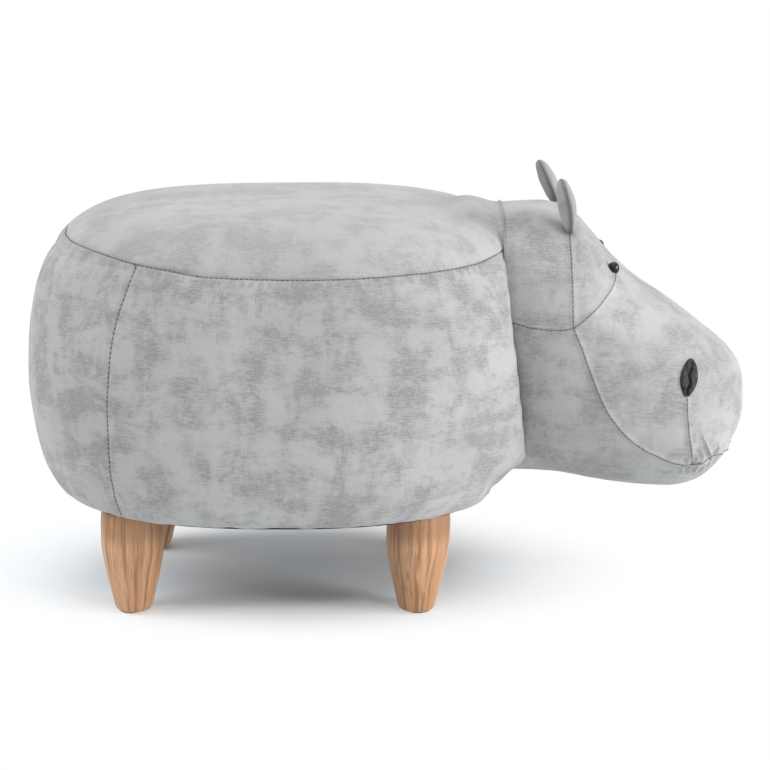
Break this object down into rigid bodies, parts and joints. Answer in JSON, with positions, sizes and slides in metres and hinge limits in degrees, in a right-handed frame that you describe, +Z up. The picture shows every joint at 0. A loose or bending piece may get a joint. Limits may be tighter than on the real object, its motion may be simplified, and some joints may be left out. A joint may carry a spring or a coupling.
{
  "type": "animal footstool",
  "caption": "Upholstered hippo footstool: oval padded seat with a stuffed head, ears, eyes and nostrils on tapered round wooden legs.",
  "frame": {"origin": "on the floor, at the middle of the whole outline seen from above", "axes": "+X from the rear to the nose, +Y to the animal's left, +Z up"},
  "size_m": [0.675, 0.3602, 0.406],
  "materials": {
    "top_fabric": "light grey distressed microfibre, smooth",
    "side_fabric": "light grey distressed microfibre, mottled",
    "head_fabric": "light grey distressed microfibre, mottled",
    "ear_fabric": "light grey distressed microfibre",
    "nostril_leather": "dark crinkled",
    "washer_plastic": "moulded",
    "eye_gloss": "polished",
    "leg_wood": "clear satin varnish on pale hardwood",
    "felt": "pressed felt",
    "plywood": "raw plywood",
    "hardboard": "raw hardboard",
    "pine": "planed pine",
    "dust_cloth": "thin black non-woven cloth",
    "filling": "polyester fibre",
    "foam": "open-cell foam",
    "zinc_steel": "zinc plated"
  },
  "bodies": {
    "root": {"base_board": "plywood", "cover_left_panel": "side_fabric", "cover_rear_panel": "side_fabric", "cover_right_panel": "side_fabric", "cover_top_panel": "top_fabric", "dust_cover": "dust_cloth", "dust_cover_staples": "zinc_steel", "ear_left": "ear_fabric", "ear_right": "ear_fabric", "eye_left": "eye_gloss", "eye_right": "eye_gloss", "eye_washers": "washer_plastic", "felt_pad_front_left": "felt", "felt_pad_front_right": "felt", "felt_pad_rear_left": "felt", "felt_pad_rear_right": "felt", "frame_post_front_left": "pine", "frame_post_front_right": "pine", "frame_post_middle_left": "pine", "frame_post_middle_right": "pine", "frame_post_rear_left": "pine", "frame_post_rear_right": "pine", "frame_screws": "zinc_steel", "front_board": "plywood", "hanger_bolt_front_left": "zinc_steel", "hanger_bolt_front_right": "zinc_steel", "hanger_bolt_rear_left": "zinc_steel", "hanger_bolt_rear_right": "zinc_steel", "head_bolts": "zinc_steel", "head_crown_panel": "head_fabric", "head_filling": "filling", "head_forehead_panel": "head_fabric", "head_jaw_panel": "head_fabric", "head_muzzle_panel": "head_fabric", "head_nuts": "zinc_steel", "head_plate": "plywood", "head_washers": "zinc_steel", "leg_front_left": "leg_wood", "leg_front_right": "leg_wood", "leg_rear_left": "leg_wood", "leg_rear_right": "leg_wood", "nostril_left": "nostril_leather", "nostril_right": "nostril_leather", "seat_board": "plywood", "seat_foam": "foam", "t_nut_front_left": "zinc_steel", "t_nut_front_right": "zinc_steel", "t_nut_rear_left": "zinc_steel", "t_nut_rear_right": "zinc_steel", "wall_foam_front": "foam", "wall_foam_left": "foam", "wall_foam_rear": "foam", "wall_foam_right": "foam", "wall_liner": "hardboard"}
  },
  "joints": []
}
